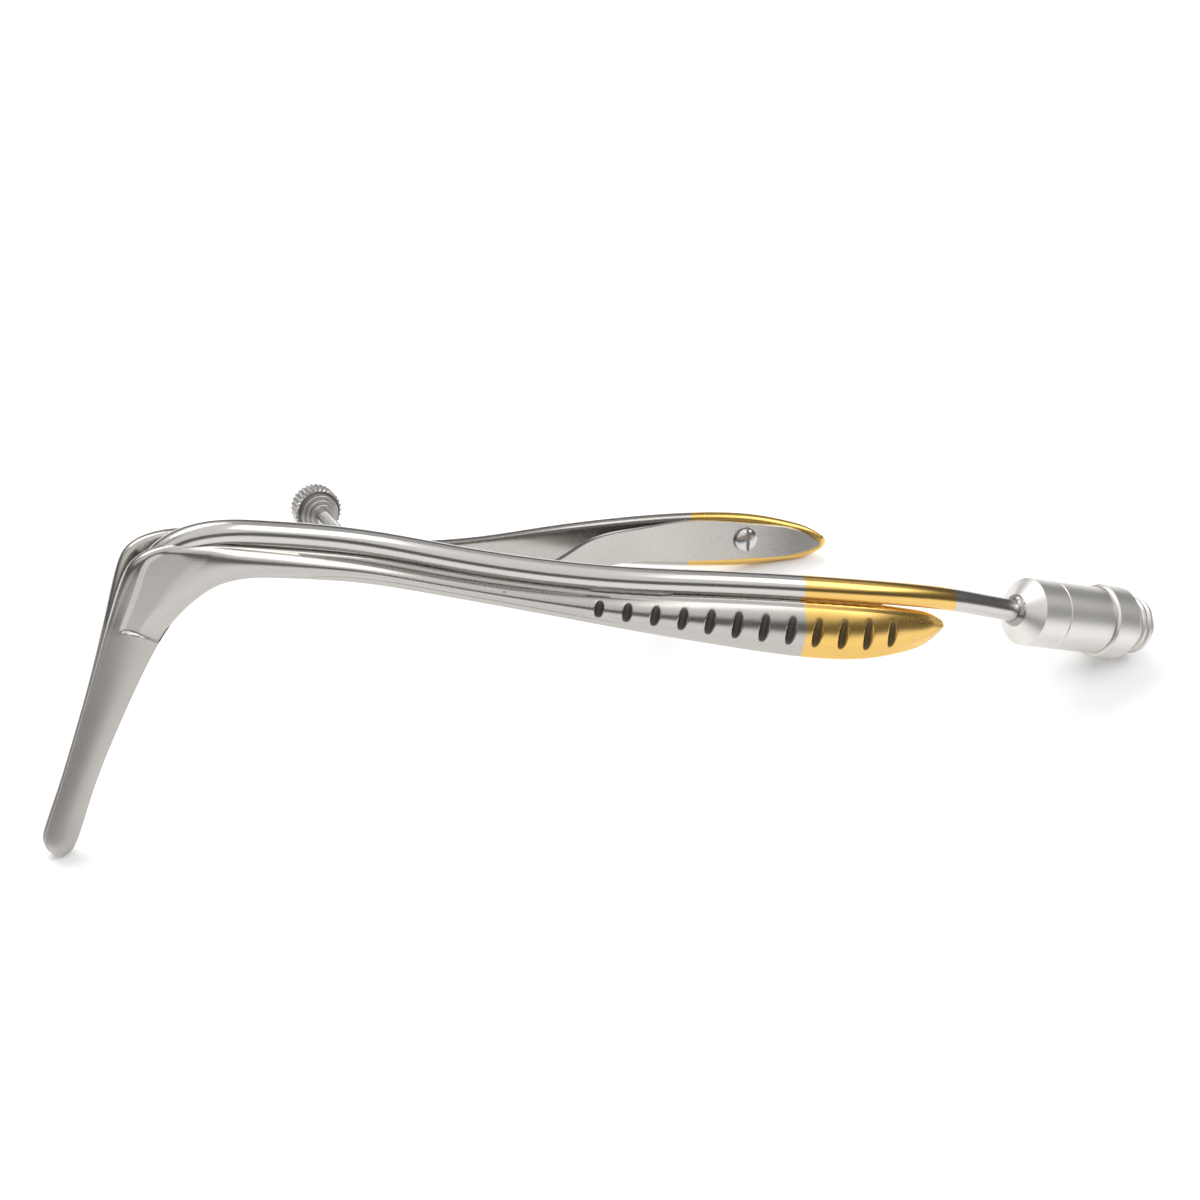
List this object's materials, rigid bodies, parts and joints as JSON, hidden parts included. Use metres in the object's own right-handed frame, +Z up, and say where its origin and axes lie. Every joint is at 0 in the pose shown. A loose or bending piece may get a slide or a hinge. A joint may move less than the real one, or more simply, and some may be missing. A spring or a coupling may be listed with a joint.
{
  "type": "nasal speculum",
  "caption": "Steel nasal speculum with sprung gilded handles, long closed blades, a set screw and a light tube with a threaded connector.",
  "frame": {"origin": "middle of the bounding box, on the table that the instrument rests on", "axes": "+X from the blades to the light connector, +Z up from the table, +Y towards the set screw knob"},
  "size_m": [0.1974, 0.0886, 0.0522],
  "materials": {
    "steel": "polished shafts, satin blades, gilded handles",
    "tube_steel": "polished tube, gilded along the handle",
    "spring_steel": "polished leaf spring",
    "screw_steel": "bright screw heads",
    "turned_steel": "turned and polished",
    "silver_solder": "lumpy bright solder",
    "fibre_face": "polished fibre ends"
  },
  "bodies": {
    "plain": {"plain_half": "steel", "far_spring": "spring_steel", "far_spring_screw": "screw_steel"},
    "light": {"light_half": "steel", "near_spring": "spring_steel", "near_spring_screw": "screw_steel", "pivot_screw": "screw_steel", "light_tube": "tube_steel", "fibre_tip": "fibre_face", "light_rod": "fibre_face", "solder_ring": "silver_solder", "connector_base": "turned_steel", "connector_sleeve": "turned_steel", "connector_collar": "turned_steel", "threaded_post": "turned_steel"},
    "spindle": {"set_spindle": "screw_steel"},
    "knob": {"set_knob": "turned_steel"}
  },
  "joints": [
    {"name": "handle_hinge", "type": "hinge", "parent": "plain", "child": "light", "pos_m": [-0.02664, 0.01335, 0.03376], "axis": [0.3533, 0.2799, 0.8926], "range_deg": [0, 20], "stiffness_Nm_per_rad": 1.2, "springref_deg": -6.88, "deforming": ["far_spring", "near_spring"]},
    {"name": "set_screw_travel", "type": "slide", "parent": "plain", "child": "spindle", "axis": [0.1615, 0.9216, -0.3529], "range_m": [-0.0004, 0.004]},
    {"name": "knob_turn", "type": "hinge", "parent": "spindle", "child": "knob", "pos_m": [-0.03263, 0.03931, 0.02911], "axis": [0.1615, 0.9216, -0.3529], "range_deg": [-290, 2885]}
  ],
  "couplings": [
    {"joint": "knob_turn", "follows": "set_screw_travel", "rad_per_m": 12566}
  ]
}
